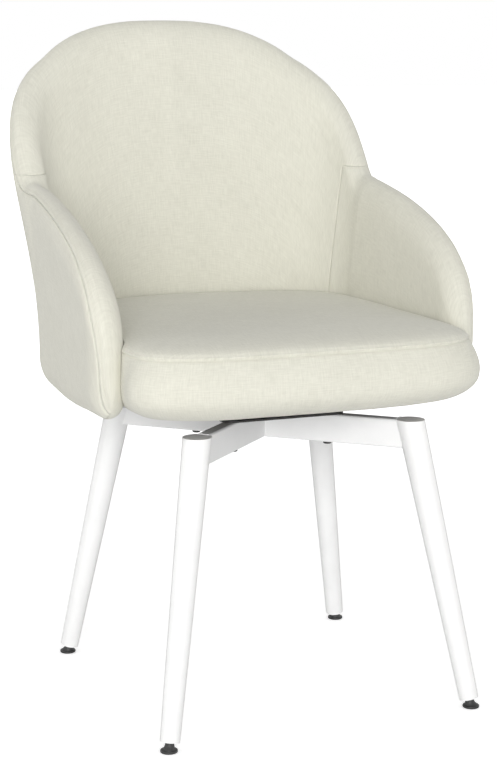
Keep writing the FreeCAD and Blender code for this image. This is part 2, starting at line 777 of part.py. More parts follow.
def build_seat_and_brackets(board, outside, back_pad, arm):
    t = bracket_thickness
    w = bracket_width
    gap = layer_gap
    low = swivel_top - t
    foot = Part.makeBox(bracket_reach, w, t, V(-bracket_reach, -w / 2, low))
    upright = Part.makeBox(t, w, bracket_height, V(-t, -w / 2, low))
    bracket = foot.fuse(upright).removeSplitter()
    foot_screws = [V(-bracket_reach + 8, y, low) for y in (-w / 4, w / 4)]
    side_screw = V(-t, 0, low + bracket_height - 9)
    r = wood_screw_diameter / 2
    for at in foot_screws:
        bracket = bracket.cut(cylinder(r + hole_clearance, t + 2, at - V(0, 0, 1)))
    bracket = bracket.cut(cylinder(r + hole_clearance, t + 2, side_screw - V(1, 0, 0), V(1, 0, 0)))

    def screw(at, axis, reach):
        head_radius = wood_screw_head_diameter / 2
        head = Part.makeCone(head_radius * 0.6, head_radius, wood_screw_head_height,
                             at - axis * wood_screw_head_height, axis)
        return head.fuse(cylinder(r, reach, at, axis))

    up = V(0, 0, 1)
    out = V(1, 0, 0)
    side_reach = t + board_thickness - 2
    foot_reach = t + seat_board_thickness - 2
    side_hole = cylinder(r + hole_clearance / 2, side_reach + 0.5, side_screw, out)
    foot_holes = [cylinder(r + hole_clearance / 2, foot_reach + 0.5, at, up) for at in foot_screws]
    pocket = Part.makeBox(t + gap + wood_screw_head_height + 0.6, w + 2 * gap, bracket_height + gap + 10,
                          V(-t - gap - wood_screw_head_height - 0.6, -w / 2 - gap, low - 10))
    foot_room = Part.makeBox(bracket_reach + gap, w + 2 * gap, t + gap + 10,
                             V(-bracket_reach - gap, -w / 2 - gap, low - 10))
    pocket = pocket.fuse(foot_room)
    frames = bracket_frames()
    brackets = Part.makeCompound([placed(bracket, f) for f in frames])
    side_screws = [placed(screw(side_screw, out, side_reach), f) for f in frames]
    bottom_screws = [placed(screw(at, up, foot_reach), f) for f in frames for at in foot_screws]
    save("shell_brackets", brackets)
    save("shell_bracket_screws", Part.makeCompound(side_screws))
    save("seat_bracket_screws", Part.makeCompound(bottom_screws))

    holes_in_shell = Part.makeCompound([placed(side_hole, f) for f in frames])
    holes_in_seat = Part.makeCompound([placed(h, f) for f in frames for h in foot_holes])
    pockets = Part.makeCompound([placed(pocket, f) for f in frames])
    save("shell_board", board.cut(holes_in_shell))
    save("inside_back_pad", middle_solid(back_pad.cut(pockets)))
    right_arm = middle_solid(arm.cut(pockets))
    save("right_arm_pad", right_arm)
    save("left_arm_pad", mirror_x(right_arm))
    save("outside_upholstery", middle_solid(outside.cut(pockets)))

    # seat board with holes for the swivel's screws
    seat_holes = []
    screws = []
    tee_nuts = []
    top = swivel_top + seat_board_thickness
    for index in range(4):
        sx, sy = corner_sign(index)
        at = V(sx * bolt_offset, sy * bolt_offset, swivel_top)
        seat_holes.append(cylinder(tee_nut_barrel / 2 + hole_clearance / 2, seat_board_thickness + 2, at - up))
        under = at - V(0, 0, plate_thickness)
        head_base = under - V(0, 0, seat_screw_head_height)
        head = cylinder(seat_screw_head_diameter / 2, seat_screw_head_height, head_base)
        reach = plate_thickness + seat_board_thickness - 1
        screws.append(head.fuse(cylinder(seat_screw_diameter / 2, reach, under)))
        barrel = cylinder(tee_nut_barrel / 2, seat_board_thickness - 2, at + V(0, 0, 2))
        flange = cylinder(tee_nut_flange / 2, tee_nut_thickness, V(at.x, at.y, top))
        tapped = cylinder(seat_screw_diameter / 2 + hole_clearance / 4, 40, at - V(0, 0, 10))
        tee_nuts.append(barrel.fuse(flange).cut(tapped))
    seat_board = seat_board_solid(seat_board_inset, swivel_top, seat_board_thickness)
    save("seat_board", seat_board.cut(Part.makeCompound(seat_holes)).cut(holes_in_seat))
    save("seat_plate_screws", Part.makeCompound(screws))
    save("seat_tee_nuts", Part.makeCompound(tee_nuts))

    cushion = seat_block()
    for wall in wall_clearance():
        cushion = middle_solid(cushion.cut(wall))
    hollow = seat_board_solid(seat_board_inset - gap, swivel_top - 1, seat_board_thickness + 1 + gap)
    floor = Part.makeBox(1000, 1000, 10, V(-500, -500, swivel_top + gap - 10))
    cushion = cushion.cut(hollow).cut(floor)
    nut_rooms = [cylinder(tee_nut_flange / 2 + gap, 4, V(n.BoundBox.Center.x, n.BoundBox.Center.y, top))
                 for n in tee_nuts]
    for room in nut_rooms:
        cushion = cushion.cut(room)
    save("seat_cushion", middle_solid(cushion))

    # dust cover stapled under the seat board, open round the swivel and the brackets
    cover = seat_board_solid(seat_board_inset + dust_cover_margin, swivel_top - dust_cover_thickness,
                             dust_cover_thickness)
    half = plate_side / 2 + dust_cover_margin
    cover = cover.cut(Part.makeBox(2 * half, 2 * half, 20, V(-half, -half, swivel_top - 10)))
    clear = Part.makeBox(bracket_reach + 4, w + 4, 20, V(-bracket_reach - 3, -w / 2 - 2, swivel_top - 10))
    cover = cover.cut(Part.makeCompound([placed(clear, f) for f in frames]))
    save("dust_cover", cover)


def footprint_middle():
    """Front to back middle of the chair, between the cushion's front and the back's rear."""
    rear = finished["outside_upholstery"].optimalBoundingBox(False, False).YMax
    front = finished["seat_cushion"].optimalBoundingBox(False, False).YMin
    return (rear + front) / 2


build_legs()
build_inserts()
build_glides()
build_crossbar()
build_base_bolts()
build_swivel()
build_seat_and_brackets(*build_shell())
shift = V(0, -footprint_middle(), 0)
print("swivel axis at y =", round(shift.y, 3))
for name, shape in finished.items():
    shape.translate(shift)
    solids = shape.Solids
    print(name, len(solids), round(shape.Volume / 1000, 2), "cm3", shape.isValid())
    if len(solids) == 1:
        solids[0].exportStep("parts/" + name + ".step")
    else:
        Part.makeCompound(solids).exportStep("parts/" + name + ".step")
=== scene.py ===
"""Looks of the swivel dining chair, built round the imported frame."""

import json
import math

import bmesh
import bpy
import numpy as np
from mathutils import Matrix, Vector, noise
from mathutils.bvhtree import BVHTree


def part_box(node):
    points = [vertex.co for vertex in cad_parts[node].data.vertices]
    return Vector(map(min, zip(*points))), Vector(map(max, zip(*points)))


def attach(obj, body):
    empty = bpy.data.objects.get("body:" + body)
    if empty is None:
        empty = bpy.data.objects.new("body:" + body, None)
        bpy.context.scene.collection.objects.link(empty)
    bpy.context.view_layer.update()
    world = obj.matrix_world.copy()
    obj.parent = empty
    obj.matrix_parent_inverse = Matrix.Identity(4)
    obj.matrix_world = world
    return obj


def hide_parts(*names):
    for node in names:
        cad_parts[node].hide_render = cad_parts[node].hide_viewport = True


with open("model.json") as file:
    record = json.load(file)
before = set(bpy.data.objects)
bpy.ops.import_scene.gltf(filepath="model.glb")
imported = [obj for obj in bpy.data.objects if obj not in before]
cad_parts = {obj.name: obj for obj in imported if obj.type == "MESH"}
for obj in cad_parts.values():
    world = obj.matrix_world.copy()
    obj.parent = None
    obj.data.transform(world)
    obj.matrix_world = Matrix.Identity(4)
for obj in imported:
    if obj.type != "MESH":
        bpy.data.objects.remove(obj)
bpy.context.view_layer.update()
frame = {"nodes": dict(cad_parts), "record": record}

# Shape values are in millimetres about the swivel axis, and the pieces end up in metres
rivet_low, rivet_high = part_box("centre_rivet")
axis_y = (rivet_low[1] + rivet_high[1]) / 2 * 1000


def metres(x, y, z):
    return (x / 1000, (y + axis_y) / 1000, z / 1000)


# Shell wall: its plan, its lean, its top line and its lower edge
wall_rear = 301.4
rear_radius = 406.5
rear_turn = math.radians(23.18)
corner_radius = 116.7
corner_turn = math.radians(63.52)
wall_length = 579.0
wall_thickness_back = 46.0
wall_thickness_arm = 46.0
wall_bottom = 395.7
edge_round = 39.0
bottom_round = 24.0
outer_bottom_round = 38.0
nose_bottom_round = 30.0
arm_dip = 8.0
arm_dip_middle = 385.0
arm_dip_reach = 110.0
bend_height = 494.0
bend_blend = 60.0
lean_back = 0.154
lean_corner = 0.198
lean_arm = 0.068
lean_growth = 0.000095
back_top = 893.7
arch_half_length = 279.0
arch_power = 2.58
arm_top = 688.7
arm_power = 2.08
arm_root = 3.9
knee_sharpness = 10.0
seam_inset = 9.4
arm_seam_length = 236.0
arm_seam_height = 684.0
cover_thickness = 1.5

# Rows of the wall's mesh: up a face, and round its top or bottom
wall_rows = 84
round_rows = 12
crest_row = wall_rows + 2 * round_rows

# Seams and stitch rows pressed into the covers, each a depth and a width
edge_seam = (1.1, 1.5)
edge_stitch_row = (0.55, 1.2)
edge_band = (0.45, 1.6)
edge_stitch_gap = 5.0
edge_band_gap = 2.5
panel_seam = (1.2, 1.5)
panel_stitch_row = (0.45, 1.0)
panel_stitch_gap = 4.0
seat_seam = (2.3, 1.3)
seat_stitch_row = (0.35, 1.0)
seat_band = (0.9, 1.5)
seat_stitch_gap = 4.6
seat_band_gap = 2.4

# Distances from the seams where the mesh gets an edge of its own
edge_cuts = (-6.5, -5.0, -3.5, -1.8, 0.0, 1.8, 3.5)
panel_cuts = (-5.5, -4.0, -2.6, -1.3, 0.0, 1.3, 2.6)
seat_cuts = (-3.0, -1.5, 1.5, 3.0, 4.2, 5.5)

# Unevenness of the foam and puckers at the seams, each a height, a size and a seed
wall_waves = ((0.45, 85.0, 1.0), (0.2, 34.0, 5.0))
seat_waves = ((0.7, 90.0, 2.0), (0.3, 36.0, 6.0))
edge_pucker = ((0.35, 9.0, 3.0),)
panel_pucker = ((0.3, 11.0, 8.0),)
seat_pucker = ((0.45, 10.0, 12.0),)
wall_pucker_reach = 9.0
seat_pucker_reach = 8.0

# Seat cushion
seat_half_width = 232.9
seat_front = 213.6
seat_side_front = 87.5
seat_front_power = 3.85
seat_seam_height = 485.3
seat_side_bulge = 13.5
flat_side_share = 0.15
flat_side_end = -118.0
full_bulge_start = -165.0
seat_bottom = 405.9
seat_bottom_round = 30.0
seat_crown = 20.0
crown_reach = 92.0
crown_power = 2.3
seat_clearance = 0.6
seat_centre = (0.0, 20.0)
nose_front = (247.0, -118.0)

arc_length_rear = rear_radius * rear_turn
straight_start = arc_length_rear + corner_radius * corner_turn
full_turn = rear_turn + corner_turn
corner_x = rear_radius * math.sin(rear_turn)
corner_y = wall_rear - rear_radius * (1 - math.cos(rear_turn))
arm_x = corner_x + corner_radius * (math.sin(full_turn) - math.sin(rear_turn))
arm_y = corner_y - corner_radius * (math.cos(rear_turn) - math.cos(full_turn))


def path_at(length):
    """Plan point, outward normal and heading of the wall's middle."""
    s = abs(length)
    if s <= arc_length_rear:
        heading = s / rear_radius
        x = rear_radius * math.sin(heading)
        y = wall_rear - rear_radius * (1 - math.cos(heading))
    elif s <= straight_start:
        heading = rear_turn + (s - arc_length_rear) / corner_radius
        x = corner_x + corner_radius * (math.sin(heading) - math.sin(rear_turn))
        y = corner_y - corner_radius * (math.cos(rear_turn) - math.cos(heading))
    else:
        heading = full_turn
        x = arm_x + (s - straight_start) * math.cos(heading)
        y = arm_y - (s - straight_start) * math.sin(heading)
    side = -1.0 if length < 0 else 1.0
    return side * x, y, side * math.sin(heading), math.cos(heading), heading


def wall_lean(heading, z):
    """How far the wall leans out at a height."""
    share = min(heading / (math.pi / 2), 1.0)
    near_back = lean_back * (1 - share) * (1 - 2 * share)
    near_corner = 4 * lean_corner * share * (1 - share)
    near_arm = lean_arm * share * (2 * share - 1)
    slope = near_back + near_corner + near_arm
    rise = z - bend_height
    if rise < -bend_blend:
        return 0.0
    if rise < bend_blend:
        smooth = (rise + bend_blend) ** 2 / (4 * bend_blend)
    else:
        smooth = rise
    return slope * smooth + lean_growth * max(rise, 0.0) ** 2


def round_share(distance, depth):
    """Share of the full thickness at a distance in from a rounded edge."""
    x = min(max(distance / depth, 0.0), 1.0)
    return math.sqrt(max(1 - (1 - x) ** 2, 0.0))


def wall_top(length):
    """Height of the wall's top line: the arch of the back over the line of the arms."""
    s = abs(length)
    along_back = min(s / arch_half_length, 1.0)
    along_arm = min(s / wall_length, 1.0)
    arch = (back_top - wall_bottom) * (1 - along_back**arch_power) ** (1 / arch_power)
    arm = (arm_top - wall_bottom) * (1 - along_arm**arm_power) ** (1 / arm_root)
    return wall_bottom + (arch**knee_sharpness + arm**knee_sharpness) ** (1 / knee_sharpness)


def wall_low(length):
    """Height of the wall's lower edge: it dips along the arm and rounds up at the front."""
    s = abs(length)
    dip = math.exp(-(((s - arm_dip_middle) / arm_dip_reach) ** 2))
    low = wall_bottom - arm_dip * dip + arm_dip / 2
    over = min(max(s - wall_length + nose_bottom_round, 0.0), nose_bottom_round)
    return low + nose_bottom_round - math.sqrt(nose_bottom_round**2 - over**2)


class Section:
    """Upright cut through the wall, square to its path."""

    def __init__(self, length):
        self.x, self.y, self.nx, self.ny, self.heading = path_at(length)
        share = min(self.heading / (math.pi / 2), 1.0)
        thickness = wall_thickness_back * (1 - share) + wall_thickness_arm * share
        self.half = thickness / 2 * round_share(wall_length - abs(length), edge_round)
        self.low = wall_low(length)
        self.top = max(wall_top(length), self.low + 0.5)
        height = self.top - self.low
        self.top_round = min(edge_round, 0.44 * height)
        half_height = 0.50 * height
        self.low_round = {
            -1: min(bottom_round, half_height),
            1: min(outer_bottom_round, half_height),
        }

    def point(self, across, z):
        out = across + wall_lean(self.heading, z)
        return Vector((self.x + self.nx * out, self.y + self.ny * out, z))

    def face_point(self, side, z):
        """Point of the inner (-1) or outer (1) face at a height."""
        share = round_share(self.top - z, self.top_round)
        share *= round_share(z - self.low, self.low_round[side])
        return self.point(side * self.half * share, z)

    def ring(self):
        """Points up the inner face, over the top and down the outer face."""
        quarter = math.pi / 2
        high = self.top - self.top_round
        faces = {}
        for side in (-1, 1):
            depth = self.low_round[side]
            low = self.low + depth
            up = []
            for k in range(round_rows):
                turn = quarter * k / round_rows
                up.append((math.sin(turn), self.low + depth * (1 - math.cos(turn))))
            for k in range(wall_rows):
                up.append((1.0, low + (high - low) * k / wall_rows))
            for k in range(round_rows):
                turn = quarter * (1 - k / round_rows)
                up.append((math.sin(turn), self.top - self.top_round * (1 - math.cos(turn))))
            faces[side] = [(side * share * self.half, z, side) for share, z in up]
        return faces[-1] + [(0.0, self.top, 1)] + faces[1][:0:-1]


def edge_line():
    """Developed outline of the wall's top and front, as length and height."""
    front_reach = 81
    back = np.linspace(0, 500, 400, endpoint=False)
    front = wall_length - front_reach * (1 - np.linspace(0, 1, 500) ** 0.5) ** 2
    lengths = np.concatenate([back, front])
    heights = np.array([wall_top(float(s)) for s in lengths])
    return lengths, heights


edge_lengths, edge_heights = edge_line()


def distance_to_edge(lengths, heights):
    """Distance of developed points from the wall's top and front outline."""
    result = np.empty(len(lengths))
    batch = 4000
    for start in range(0, len(lengths), batch):
        part = slice(start, start + batch)
        ds = np.abs(lengths[part])[:, None] - edge_lengths[None, :]
        dz = heights[part][:, None] - edge_heights[None, :]
        result[part] = np.sqrt(np.min(ds**2 + dz**2, axis=1))
    return result


def station_list():
    """Wall stations on the right side, closer at the knee and the front."""
    knee_start, knee_end = 216, 290
    front_steps = 24
    tip_gap = 0.0005
    found = list(np.arange(0, knee_start, 5.4))
    found += list(np.arange(knee_start, knee_end, 2.4))
    found += list(np.arange(knee_end, wall_length - edge_round - 2, 5.0))
    for k in range(front_steps + 1):
        back = edge_round * (1 - math.sin(math.pi / 2 * k / front_steps))
        found.append(wall_length - back - tip_gap)
    return found


def new_piece(name, bm, body, slot, *nodes):
    """Smooth object from a mesh, riding on a body and standing for nodes."""
    mesh = bpy.data.meshes.new(name)
    bm.to_mesh(mesh)
    for polygon in mesh.polygons:
        polygon.use_smooth = True
    piece = bpy.data.objects.new(name, mesh)
    bpy.context.scene.collection.objects.link(piece)
    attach(piece, body)
    if nodes:
        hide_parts(*nodes)
    bm.free()
    return piece


def into_frame(bm):
    """Moves a mesh from millimetres about the swivel into the frame."""
    for vert in bm.verts:
        vert.co = metres(*vert.co)


def running_lengths(points):
    """Distance of each point of a polyline from its start."""
    total = [0.0]
    for a, b in zip(points, points[1:]):
        total.append(total[-1] + (b - a).length)
    return total


def bridge(bm, a, b):
    """Faces between two closed rings of equal count."""
    count = len(a)
    for k in range(count):
        j = (k + 1) % count
        bm.faces.new((a[k], a[j], b[j], b[k]))


def cut_level(bm, layer, level, reach=12.0):
    """Splits faces along the line where a vertex layer has a value."""
    near_end = 0.04
    on_line = set()
    for edge in list(bm.edges):
        a, b = edge.verts
        fa, fb = a[layer] - level, b[layer] - level
        if fa * fb >= 0 or abs(fa) + abs(fb) > reach:
            continue
        part = fa / (fa - fb)
        if part < near_end:
            a[layer] = level
            on_line.add(a)
        elif part > 1 - near_end:
            b[layer] = level
            on_line.add(b)
        else:
            vert = bmesh.utils.edge_split(edge, a, part)[1]
            vert[layer] = level
            on_line.add(vert)
    for face in {f for v in on_line for f in v.link_faces}:
        ends = [v for v in face.verts if v in on_line]
        if len(ends) != 2:
            continue
        if not any(e.other_vert(ends[0]) is ends[1] for e in ends[0].link_edges):
            bmesh.utils.face_split(face, ends[0], ends[1])


def press(distance, groove):
    """How deep a groove of some depth and width is at a distance from its middle."""
    depth, width = groove
    return depth * math.exp(-((distance / width) ** 2))


def ripple(p, size, seed):
    """Smooth uneven value between about -1 and 1."""
    return noise.noise(Vector((p.x / size + seed, p.y / size, p.z / size)))


def waves(point, rows):
    """Sum of uneven values, for rows of height, size and seed."""
    return sum(height * ripple(point, size, seed) for height, size, seed in rows)


def wall_columns(bm, stations):
    """Adds the wall's points, a column for each station, with their places on the wall."""
    along = bm.verts.layers.float["along"]
    girth = bm.verts.layers.float["girth"]
    edge = bm.verts.layers.float["edge"]
    panel = bm.verts.layers.float["panel"]
    columns, places = [], []
    for length in stations:
        section = Section(length)
        ring = section.ring()
        points = [section.point(across, z) for across, z, side in ring]
        total = running_lengths(points)
        column = []
        for k, point in enumerate(points):
            vert = bm.verts.new(point)
            vert[along] = length
            vert[girth] = total[k] - total[crest_row]
            column.append(vert)
            places.append((vert, length, ring[k][1], ring[k][2]))
        columns.append(column)
    lengths = np.array([place[1] for place in places])
    heights = np.array([place[2] for place in places])
    reaches = distance_to_edge(lengths, heights)
    for (vert, length, height, side), reach in zip(places, reaches):
        vert[edge] = float(reach) * side - seam_inset
        vert[panel] = min(abs(length) - arm_seam_length, arm_seam_height - height)
    return columns


def join_wall(bm, columns):
    """Faces between the wall's columns, marked where they are on the outer side."""
    outer = bm.faces.layers.int["outer"]
    rows = len(columns[0])
    for left, near in zip(columns, columns[1:]):
        for k in range(rows):
            j = (k + 1) % rows
            face = bm.faces.new((left[k], near[k], near[j], left[j]))
            face[outer] = 1 if k >= crest_row else 0
    for column, order in ((columns[0], -1), (columns[-1], 1)):
        bm.faces.new(column[::order])[outer] = 0


def press_wall(bm):
    """Presses the seams in and gives the foam its unevenness."""
    edge = bm.verts.layers.float["edge"]
    panel = bm.verts.layers.float["panel"]
    outer = bm.faces.layers.int["outer"]
    seam_reach = 30
    bm.normal_update()
    moves = []
    for vert in bm.verts:
        outer_side = all(f[outer] for f in vert.link_faces)
        depth = 0.0
        if vert[edge] > -seam_reach:
            seam = press(vert[edge], edge_seam)
            depth += seam + press(vert[edge] + edge_stitch_gap, edge_stitch_row)
            depth -= press(vert[edge] + edge_band_gap, edge_band)
            depth += waves(vert.co, edge_pucker) * math.exp(-abs(vert[edge]) / wall_pucker_reach)
        if vert[edge] < 0 and not outer_side:
            seam = press(vert[panel], panel_seam)
            depth += seam + press(vert[panel] + panel_stitch_gap, panel_stitch_row)
            depth += waves(vert.co, panel_pucker) * math.exp(-abs(vert[panel]) / wall_pucker_reach)
        depth += waves(vert.co, wall_waves)
        moves.append((vert, vert.normal * depth))
    for vert, move in moves:
        vert.co -= move


def build_wall():
    """Whole upholstered wall as one skin, with seam distances kept on it."""
    bm = bmesh.new()
    for name in ("along", "girth", "edge", "panel"):
        bm.verts.layers.float.new(name)
    bm.faces.layers.int.new("outer")
    right = station_list()
    join_wall(bm, wall_columns(bm, [-s for s in reversed(right[1:])] + right))
    for level in edge_cuts:
        cut_level(bm, bm.verts.layers.float["edge"], level)
    for level in panel_cuts:
        cut_level(bm, bm.verts.layers.float["panel"], level)
    press_wall(bm)
    return bm


def only(source, keep):
    """Copy of a mesh with the faces that a test keeps."""
    bm = source.copy()
    gone = [f for f in bm.faces if not keep(bm, f)]
    bmesh.ops.delete(bm, geom=gone, context="FACES")
    return bm


def mean(face, layer):
    """Mean value of a layer at a face's corners."""
    return sum(v[layer] for v in face.verts) / len(face.verts)


def weave_along(bm):
    """Weave coordinates that follow the wall's length and girth."""
    along = bm.verts.layers.float["along"]
    girth = bm.verts.layers.float["girth"]
    uv = bm.loops.layers.uv.new("weave")
    for face in bm.faces:
        for loop in face.loops:
            loop[uv].uv = (loop.vert[along] / 1000, loop.vert[girth] / 1000)


def thicken(piece, depth):
    """Gives a cover a thickness inwards."""
    solid = piece.modifiers.new("foam", "SOLIDIFY")
    solid.thickness = depth
    solid.offset = -1.0
    solid.use_even_offset = False


def cover_of(bm, face):
    """Name of the cover that a face of the wall belongs to."""
    if face[bm.faces.layers.int["outer"]] and mean(face, bm.verts.layers.float["edge"]) > 0:
        return "outside_cover"
    if mean(face, bm.verts.layers.float["panel"]) <= 0:
        return "inside_back_cover"
    return "left_arm_cover" if face.calc_center_median().x < 0 else "right_arm_cover"


def build_upholstery():
    """Covers of the wall, and its whole surface for the stitches."""
    wall = build_wall()
    stands_for = {
        "outside_cover": "outside_upholstery",
        "inside_back_cover": "inside_back_pad",
        "left_arm_cover": "left_arm_pad",
        "right_arm_cover": "right_arm_pad",
    }
    pieces = []
    for name, node in stands_for.items():
        bm = only(wall, lambda part, face: cover_of(part, face) == name)
        weave_along(bm)
        into_frame(bm)
        piece = new_piece(name, bm, "seat", "linen", node)
        thicken(piece, cover_thickness / 1000)
        pieces.append(piece)
    skin = BVHTree.FromBMesh(wall)
    wall.free()
    return pieces, skin


# Seat cushion: heights and outlines
corner_centre = (
    corner_x - corner_radius * math.sin(rear_turn),
    corner_y - corner_radius * math.cos(rear_turn),
)
rear_centre = (0.0, wall_rear - rear_radius)


def wall_place(x, y):
    """Length along the wall and distance out from its middle, for a plan point."""
    x = abs(x)
    angle = math.atan2(x - rear_centre[0], y - rear_centre[1])
    if angle <= rear_turn:
        reach = math.hypot(x - rear_centre[0], y - rear_centre[1])
        return rear_radius * angle, reach - rear_radius
    angle = math.atan2(x - corner_centre[0], y - corner_centre[1])
    if angle <= full_turn and y > corner_centre[1] - 60:
        angle = max(angle, rear_turn)
        reach = math.hypot(x - corner_centre[0], y - corner_centre[1])
        return arc_length_rear + corner_radius * (angle - rear_turn), reach - corner_radius
    along = (x - arm_x) * math.cos(full_turn) - (y - arm_y) * math.sin(full_turn)
    out = (x - arm_x) * math.sin(full_turn) + (y - arm_y) * math.cos(full_turn)
    return straight_start + along, out


def front_inset(x, y):
    """How far a point is in from the seat's front outline."""
    low, high = -60.0, 120.0
    for _ in range(32):
        inset = (low + high) / 2
        width = seat_half_width - inset
        depth = seat_front - seat_side_front - inset
        if depth <= 0 or width <= 0:
            high = inset
            continue
        across = (abs(x) / width) ** seat_front_power
        forward = (abs(-seat_side_front - y) / depth) ** seat_front_power
        if across + forward > 1:
            high = inset
        else:
            low = inset
    return (low + high) / 2


def seat_inset(x, y):
    """How far a point is in from the seat's outline."""
    if y < -seat_side_front:
        return front_inset(x, y)
    length, out = wall_place(x, y)
    if length <= straight_start:
        return -out
    share = (arm_y - y) / (arm_y + seat_side_front)
    return arm_x + (seat_half_width - arm_x) * share - abs(x)


def seat_height(x, y):
    """Height of the crowned top over a plan point."""
    u = min(max(seat_inset(x, y) / crown_reach, 0.0), 1.0)
    return seat_seam_height + seat_crown * (1 - (1 - u) ** crown_power) ** (1 / crown_power)


def bulge_share(y):
    """The side stays flat beside the arms' fronts and swells towards the front corners."""
    share = min(max((flat_side_end - y) / (flat_side_end - full_bulge_start), 0.0), 1.0)
    return flat_side_share + (1 - flat_side_share) * share * share * (3 - 2 * share)


def side_grow(y, z):
    """How far the seat's side stands out from the seam at a height."""
    rise = z - seat_bottom
    height = seat_seam_height - seat_bottom
    bulge = seat_side_bulge * math.sin(math.pi * min(max(rise / height, 0.0), 1.0)) * bulge_share(y)
    return bulge - seat_bottom_round * (1 - round_share(rise, seat_bottom_round))


def outside_block(x, y, z):
    """Positive outside the seat's block or inside the wall."""
    grow = side_grow(y, min(z, seat_seam_height))
    block = -seat_inset(x, y) - grow
    length, out = wall_place(x, y)
    if length >= wall_length:
        return block
    section = Section(length)
    face = -section.half + wall_lean(section.heading, z) - seat_clearance
    return max(block, out - face)


def seat_reach(angle, z):
    """Distance from the seat's centre to its side."""
    low, high = 150.0, 360.0
    for _ in range(26):
        reach = (low + high) / 2
        x = seat_centre[0] + reach * math.sin(angle)
        y = seat_centre[1] - reach * math.cos(angle)
        if outside_block(x, y, z) > 0:
            high = reach
        else:
            low = reach
    return (low + high) / 2


def seat_angles():
    """Directions round the seat, closer where it passes the arms' fronts."""
    nose_angle = math.atan2(nose_front[0], seat_centre[1] - nose_front[1])
    angles = {round(math.pi * k / 150, 5) for k in range(151)}
    angles |= {round(nose_angle + k * 0.0035, 5) for k in range(-16, 17)}
    angles = sorted(a for a in angles if a <= math.pi)
    return [-a for a in reversed(angles[1:-1])] + angles


def seat_profile(angle):
    """Points from under the seat's middle, up its side and over its top, and the seam's row."""
    side_rows, top_rows = 26, 44
    sign = -1.0 if angle < 0 else 1.0
    angle = abs(angle)
    sx, sy = math.sin(angle), -math.cos(angle)
    edge_reach = seat_reach(angle, seat_seam_height)
    edge_x = seat_centre[0] + edge_reach * sx
    edge_y = seat_centre[1] + edge_reach * sy
    edge_height = seat_height(edge_x, edge_y)
    bottom_reach = seat_reach(angle, seat_bottom)
    profile = [(share * bottom_reach, seat_bottom) for share in (0.0, 0.5, 0.8, 0.93)]
    for k in range(side_rows):
        part = k / side_rows
        z = seat_bottom + (edge_height - seat_bottom) * (0.5 * part**2 + 0.5 * part)
        profile.append((seat_reach(angle, z), z))
    seam_row = len(profile)
    for k in range(top_rows + 1):
        reach = edge_reach * (1 - (k / top_rows) ** 1.8)
        x = seat_centre[0] + reach * sx
        y = seat_centre[1] + reach * sy
        profile.append((reach, seat_height(x, y)))
    points = []
    for reach, z in profile:
        x = sign * (seat_centre[0] + reach * sx)
        points.append(Vector((x, seat_centre[1] + reach * sy, z)))
    return points, seam_row


def seat_columns(bm):
    """Adds the seat's points, with their distance from the seam and round the seat."""
    along = bm.verts.layers.float["along"]
    girth = bm.verts.layers.float["girth"]
    seam = bm.verts.layers.float["seam"]
    columns = []
    travelled = 0.0
    last = None
    for angle in seat_angles():
        points, seam_row = seat_profile(angle)
        if last is not None:
            travelled += (points[seam_row] - last).length
        last = points[seam_row]
        lengths = running_lengths(points)
        column = []
        for k, point in enumerate(points):
            vert = bm.verts.new(point)
            vert[seam] = lengths[k] - lengths[seam_row]
            if k <= seam_row:
                vert[along], vert[girth] = travelled, vert[seam]
            else:
                vert[along], vert[girth] = point.x, point.y
            column.append(vert)
        columns.append(column)
    return columns, seam_row


def weave_seat(bm):
    """Weave coordinates: straight on the top, and along the seam on the side."""
    along = bm.verts.layers.float["along"]
    girth = bm.verts.layers.float["girth"]
    top = bm.faces.layers.int["top"]
    uv = bm.loops.layers.uv.new("weave")
    top_shift = 3.0
    for face in bm.faces:
        flat = face[top]
        for loop in face.loops:
            vert = loop.vert
            if flat:
                loop[uv].uv = (vert.co.x / 1000 + top_shift, vert.co.y / 1000)
            else:
                loop[uv].uv = (vert[along] / 1000, vert[girth] / 1000)


def press_seat(bm):
    """Presses the seam in and crumples the cover, gently where the wall covers it."""
    seam = bm.verts.layers.float["seam"]
    covered_from, covered_share = -95, 0.3
    moves = []
    for vert in bm.verts:
        depth = press(vert[seam], seat_seam) - press(vert[seam] - seat_band_gap, seat_band)
        depth += press(vert[seam] - seat_stitch_gap, seat_stitch_row)
        depth += waves(vert.co, seat_pucker) * math.exp(-abs(vert[seam]) / seat_pucker_reach)
        depth += waves(vert.co, seat_waves)
        if vert.co.y > covered_from and vert[seam] < 2:
            depth = abs(depth) * covered_share
        moves.append((vert, vert.normal * depth))
    for vert, move in moves:
        vert.co -= move


def build_seat():
    """Boxed cushion: flat underside, bulged sides, seam and crowned top."""
    bm = bmesh.new()
    for name in ("along", "girth", "seam"):
        bm.verts.layers.float.new(name)
    columns, seam_row = seat_columns(bm)
    top = bm.faces.layers.int.new("top")
    for a, b in zip(columns, columns[1:] + columns[:1]):
        for k in range(len(a) - 1):
            face = bm.faces.new((a[k], b[k], b[k + 1], a[k + 1]))
            face[top] = 1 if k >= seam_row else 0
    for level in seat_cuts:
        cut_level(bm, bm.verts.layers.float["seam"], level)
    bmesh.ops.remove_doubles(bm, verts=bm.verts, dist=0.02)
    bm.normal_update()
    weave_seat(bm)
    press_seat(bm)
    into_frame(bm)
    piece = new_piece("seat_cover", bm, "seat", "linen", "seat_cushion")
    return piece


# Threads and wire
thread_sides = 6
thread_rings = ((0.0, 0.35, -0.25), (0.25, 1.0, 0.3), (0.75, 1.0, 0.3), (1.0, 0.35, -0.25))


